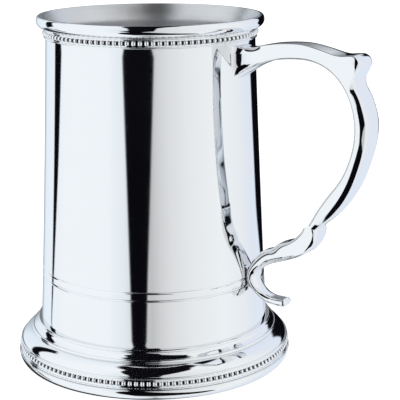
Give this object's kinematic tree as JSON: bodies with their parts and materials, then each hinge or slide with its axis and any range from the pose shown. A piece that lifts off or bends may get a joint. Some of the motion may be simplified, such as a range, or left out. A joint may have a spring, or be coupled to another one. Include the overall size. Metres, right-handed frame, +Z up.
{
  "type": "tankard",
  "caption": "Pewter tankard with a tapering drum, beaded rim, beaded moulded foot and a scroll handle with a thumb knob.",
  "frame": {"origin": "centre of the resting circle under the foot, on the drum's axis", "axes": "+Z up along the drum's axis, +X from the axis towards the back of the handle"},
  "size_m": [0.1379, 0.1018, 0.128],
  "materials": {
    "pewter": "polished",
    "pewter_inside": "satin",
    "solder": "gloss"
  },
  "bodies": {
    "root": {"drum": "pewter", "base_disc": "pewter_inside", "foot": "pewter", "rim_beading": "pewter", "foot_beading": "pewter", "handle": "pewter", "upper_solder": "solder", "lower_solder": "solder", "base_solder": "solder", "foot_solder": "solder"}
  },
  "joints": []
}
